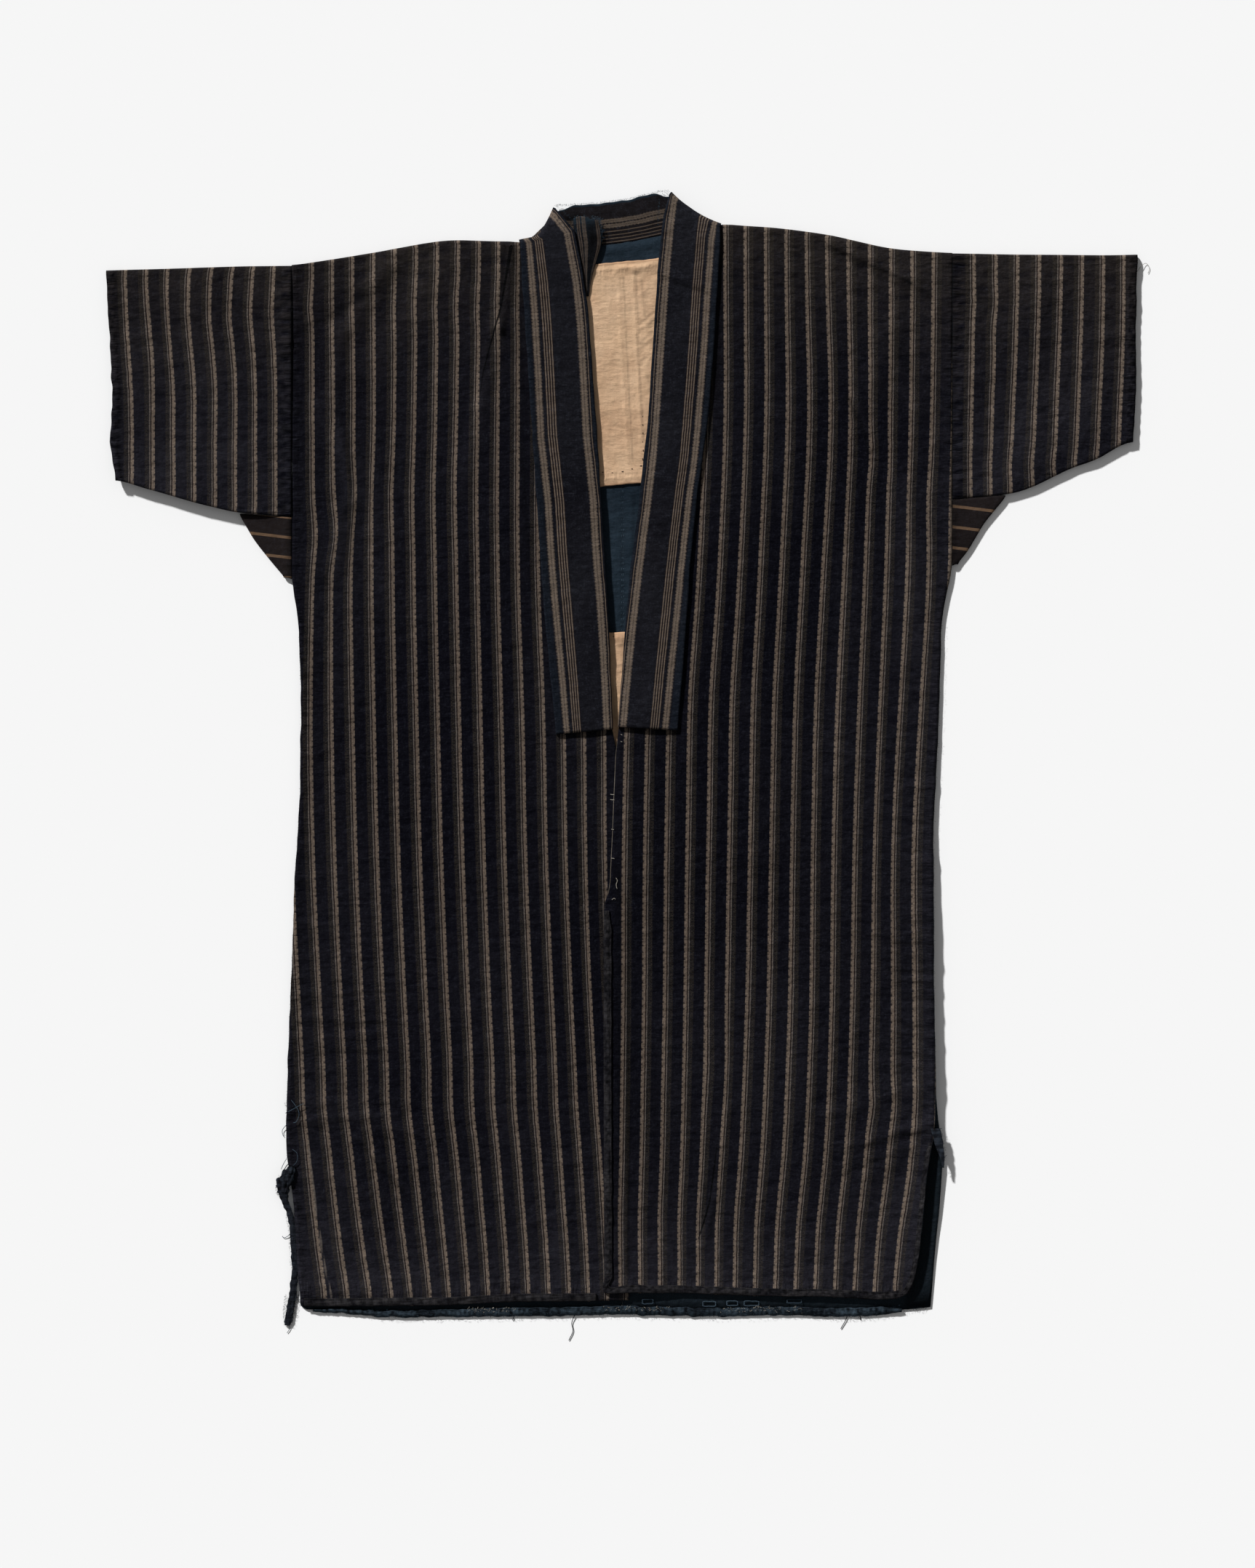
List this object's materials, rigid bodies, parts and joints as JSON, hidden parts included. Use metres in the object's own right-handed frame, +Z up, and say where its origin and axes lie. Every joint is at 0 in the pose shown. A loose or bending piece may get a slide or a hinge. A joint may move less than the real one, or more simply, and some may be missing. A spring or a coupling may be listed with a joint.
{
  "type": "noragi work jacket",
  "caption": "Striped indigo cotton work jacket with short straight sleeves, underarm gussets and a wide plain collar, laid flat on its back.",
  "frame": {"origin": "on the surface the jacket lies on, under the middle of its whole outline", "axes": "+Y towards the neck, +X towards the wearer's left sleeve, +Z up from the surface, out of the front"},
  "size_m": [0.964, 1.0614, 0.0115],
  "materials": {
    "stripedCotton": "matt indigo cotton with tan stripes",
    "collarCotton": "matt indigo cotton with tan stripes",
    "indigoLining": "matt plain indigo cotton",
    "undyedCotton": "matt undyed cotton"
  },
  "bodies": {
    "root": {"body_right": "stripedCotton", "body_left": "stripedCotton", "sleeve_right": "stripedCotton", "sleeve_left": "stripedCotton", "gusset_right": "stripedCotton", "gusset_left": "stripedCotton", "collar": "collarCotton", "collar_flap": "collarCotton", "back_lining": "indigoLining", "yoke_patch": "undyedCotton", "waist_patch": "undyedCotton", "edge_band_left": "stripedCotton", "hem_band_right": "stripedCotton", "hem_band_back": "indigoLining", "slit_strip": "stripedCotton", "slit_tab": "stripedCotton"}
  },
  "joints": []
}
